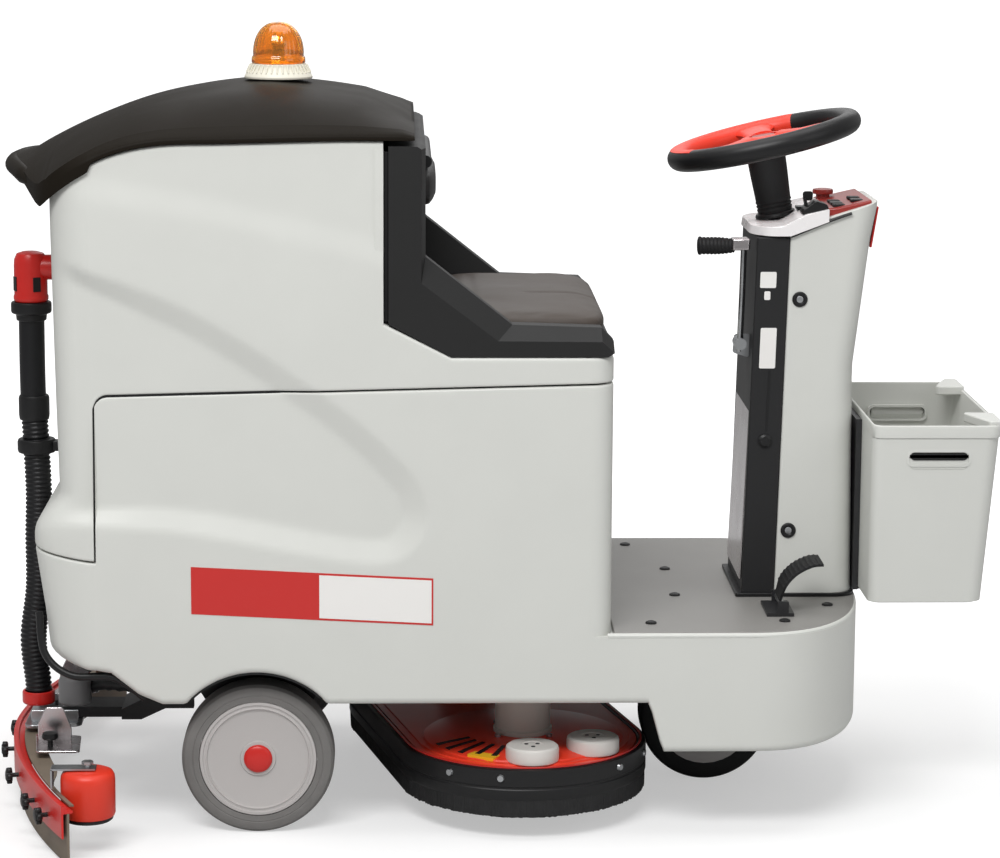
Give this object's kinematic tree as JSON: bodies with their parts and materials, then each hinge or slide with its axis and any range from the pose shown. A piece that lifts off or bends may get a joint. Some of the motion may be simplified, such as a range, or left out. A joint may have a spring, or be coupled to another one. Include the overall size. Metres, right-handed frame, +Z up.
{
  "type": "ride-on scrubber dryer",
  "caption": "Compact ride-on floor scrubber: seat on the tanks, front steered drive wheel, twin disc brush deck, curved squeegee, litter bin and beacon.",
  "frame": {"origin": "centre of the bounding box's bottom face, on the floor under the middle of the machine's length", "axes": "+X the driving direction, +Y the machine's left, +Z up"},
  "size_m": [1.4938, 0.92, 1.162],
  "materials": {
    "shell_grey": "satin moulded",
    "lid_charcoal": "satin textured",
    "seat_vinyl": "soft matt vinyl",
    "black_plastic": "satin",
    "black_rubber": "ribbed matt",
    "tyre_rubber": "matt",
    "hub_grey": "satin",
    "red_plastic": "satin",
    "red_paint": "satin",
    "steel": "brushed",
    "chrome_rod": "polished",
    "frame_paint": "semi gloss",
    "plate_grey": "grained",
    "silver_panel": "silver paint",
    "beacon_amber": "clear amber",
    "beacon_cream": "satin",
    "roller_cream": "satin",
    "battery_case": "satin",
    "motor_case": "cast",
    "bristle_black": "bristle",
    "blade_rubber": "matt",
    "hose_black": "corrugated"
  },
  "bodies": {
    "machine": {"chassis_frame": "frame_paint", "solution_tank": "shell_grey", "recovery_tank": "shell_grey", "lid_hinge_pin": "steel", "seat_shell": "lid_charcoal", "seat_cushion": "seat_vinyl", "backrest_pad": "seat_vinyl", "battery_left": "battery_case", "battery_right": "battery_case", "vacuum_motor": "motor_case", "rear_axle": "steel", "steering_chain": "steel", "steering_boot": "black_plastic", "column_body": "shell_grey", "column_cover": "lid_charcoal", "dashboard": "silver_panel", "platform_plate": "plate_grey", "pedal_bracket": "steel", "bin_bracket": "black_plastic", "suction_hose": "hose_black", "hose_elbow": "red_plastic"},
    "lid": {"tank_lid": "lid_charcoal", "beacon_base": "beacon_cream", "beacon_lens": "beacon_amber"},
    "right_rear_wheel": {"rear_tyre_right": "tyre_rubber", "rear_hub_right": "hub_grey"},
    "left_rear_wheel": {"rear_tyre_left": "tyre_rubber", "rear_hub_left": "hub_grey"},
    "steer_fork": {"drive_fork": "frame_paint"},
    "drive_wheel": {"drive_tyre": "tyre_rubber", "drive_hub": "frame_paint"},
    "lower_shaft": {"steering_shaft_lower": "steel"},
    "steering_wheel": {"steering_shaft_upper": "steel", "steering_rim": "black_plastic", "steering_spider": "red_plastic"},
    "horn": {"horn_button": "black_plastic"},
    "key": {"key_switch": "black_plastic"},
    "rocker": {"rocker_switch": "black_plastic"},
    "emergency_stop": {"emergency_button": "red_plastic"},
    "squeegee_lever": {"lift_lever": "chrome_rod", "lever_grip": "black_rubber"},
    "pedal": {"accelerator_pedal": "black_rubber"},
    "bin": {"litter_bin": "shell_grey"},
    "deck": {"deck_cover": "red_paint", "deck_skirt": "black_rubber", "brush_motor_right": "motor_case", "brush_motor_left": "motor_case"},
    "right_brush": {"brush_right": "bristle_black"},
    "left_brush": {"brush_left": "bristle_black"},
    "front_deck_roller": {"deck_roller_front": "roller_cream"},
    "rear_deck_roller": {"deck_roller_rear": "roller_cream"},
    "deck_link": {"deck_lift_arm": "frame_paint"},
    "squeegee_carrier": {"squeegee_arm": "frame_paint"},
    "squeegee": {"squeegee_bar": "red_paint", "squeegee_blade": "blade_rubber", "squeegee_bracket": "steel", "blade_knob_right": "black_plastic", "blade_knob_left": "black_plastic"},
    "right_bumper": {"bumper_roller_right": "red_plastic"},
    "left_bumper": {"bumper_roller_left": "red_plastic"}
  },
  "joints": [
    {"name": "lid_hinge", "type": "hinge", "parent": "machine", "child": "lid", "pos_m": [-0.1266, 0, 1.0155], "axis": [0, 1, 0], "range_deg": [0, 85]},
    {"name": "right_rear_wheel_spin", "type": "hinge", "parent": "machine", "child": "right_rear_wheel", "pos_m": [-0.3441, -0.27, 0.111], "axis": [0, 1, 0], "continuous": true},
    {"name": "left_rear_wheel_spin", "type": "hinge", "parent": "machine", "child": "left_rear_wheel", "pos_m": [-0.3441, 0.27, 0.111], "axis": [0, 1, 0], "continuous": true},
    {"name": "fork_steer", "type": "hinge", "parent": "machine", "child": "steer_fork", "pos_m": [0.3329, 0, 0.25], "axis": [0, 0, 1], "range_deg": [-75, 75]},
    {"name": "drive_wheel_spin", "type": "hinge", "parent": "steer_fork", "child": "drive_wheel", "pos_m": [0.3329, 0, 0.1], "axis": [0, 1, 0], "continuous": true},
    {"name": "lower_shaft_turn", "type": "hinge", "parent": "machine", "child": "lower_shaft", "pos_m": [0.48056, 0, 0.6], "axis": [0, 0, 1], "range_deg": [-150, 150]},
    {"name": "steering_wheel_turn", "type": "hinge", "parent": "machine", "child": "steering_wheel", "pos_m": [0.4099, 0, 0.985], "axis": [-0.1805, 0, 0.9836], "range_deg": [-150, 150]},
    {"name": "horn_press", "type": "slide", "parent": "steering_wheel", "child": "horn", "axis": [-0.1805, 0, 0.9836], "range_m": [-0.003, 0], "stiffness_N_per_m": 300, "springref_m": 0.002},
    {"name": "key_turn", "type": "hinge", "parent": "machine", "child": "key", "pos_m": [0.4689, -0.07, 0.88741], "axis": [-0.229, 0, 0.9734], "range_deg": [0, 90]},
    {"name": "rocker_tilt", "type": "hinge", "parent": "machine", "child": "rocker", "pos_m": [0.4689, -0.02, 0.88741], "axis": [0, 1, 0], "range_deg": [-8, 8]},
    {"name": "emergency_press", "type": "slide", "parent": "machine", "child": "emergency_stop", "axis": [-0.1644, 0, 0.9864], "range_m": [-0.003, 0]},
    {"name": "lever_pull", "type": "hinge", "parent": "machine", "child": "squeegee_lever", "pos_m": [0.3709, -0.074, 0.69], "axis": [0, 1, 0], "range_deg": [-35, 0]},
    {"name": "pedal_press", "type": "hinge", "parent": "machine", "child": "pedal", "pos_m": [0.4259, -0.19, 0.32], "axis": [0, 1, 0], "range_deg": [0, 15], "stiffness_Nm_per_rad": 3, "springref_deg": -5.73},
    {"name": "bin_lift", "type": "slide", "parent": "machine", "child": "bin", "axis": [0, 0, 1], "range_m": [0, 0.1]},
    {"name": "deck_lower", "type": "slide", "parent": "machine", "child": "deck", "axis": [0, 0, 1], "range_m": [-0.025, 0]},
    {"name": "right_brush_spin", "type": "hinge", "parent": "deck", "child": "right_brush", "pos_m": [0.0459, -0.163, 0.03], "axis": [0, 0, 1], "continuous": true},
    {"name": "left_brush_spin", "type": "hinge", "parent": "deck", "child": "left_brush", "pos_m": [-0.0341, 0.163, 0.03], "axis": [0, 0, 1], "continuous": true},
    {"name": "front_roller_spin", "type": "hinge", "parent": "deck", "child": "front_deck_roller", "pos_m": [0.14626, -0.24721, 0.107], "axis": [0, 0, 1], "continuous": true},
    {"name": "rear_roller_spin", "type": "hinge", "parent": "deck", "child": "rear_deck_roller", "pos_m": [0.05504, -0.29368, 0.107], "axis": [0, 0, 1], "continuous": true},
    {"name": "deck_link_turn", "type": "hinge", "parent": "machine", "child": "deck_link", "pos_m": [0.1609, 0, 0.205], "axis": [0, 1, 0], "range_deg": [-9.7, 0]},
    {"name": "squeegee_lift", "type": "hinge", "parent": "machine", "child": "squeegee_carrier", "pos_m": [-0.4741, 0, 0.145], "axis": [0, 1, 0], "range_deg": [0, 12], "deforming": ["suction_hose"]},
    {"name": "squeegee_swing", "type": "hinge", "parent": "squeegee_carrier", "child": "squeegee", "pos_m": [-0.6441, 0, 0.1], "axis": [0, 0, 1], "range_deg": [-10, 10]},
    {"name": "right_bumper_spin", "type": "hinge", "parent": "squeegee", "child": "right_bumper", "pos_m": [-0.58264, -0.38, 0.044], "axis": [0, 0, 1], "continuous": true},
    {"name": "left_bumper_spin", "type": "hinge", "parent": "squeegee", "child": "left_bumper", "pos_m": [-0.58264, 0.38, 0.044], "axis": [0, 0, 1], "continuous": true}
  ],
  "couplings": [
    {"joint": "steering_wheel_turn", "follows": "fork_steer", "ratio": 2},
    {"joint": "lower_shaft_turn", "follows": "fork_steer", "ratio": 2},
    {"joint": "lever_pull", "follows": "squeegee_lift", "ratio": -2.9},
    {"joint": "deck_link_turn", "follows": "deck_lower", "rad_per_m": 6.7}
  ]
}
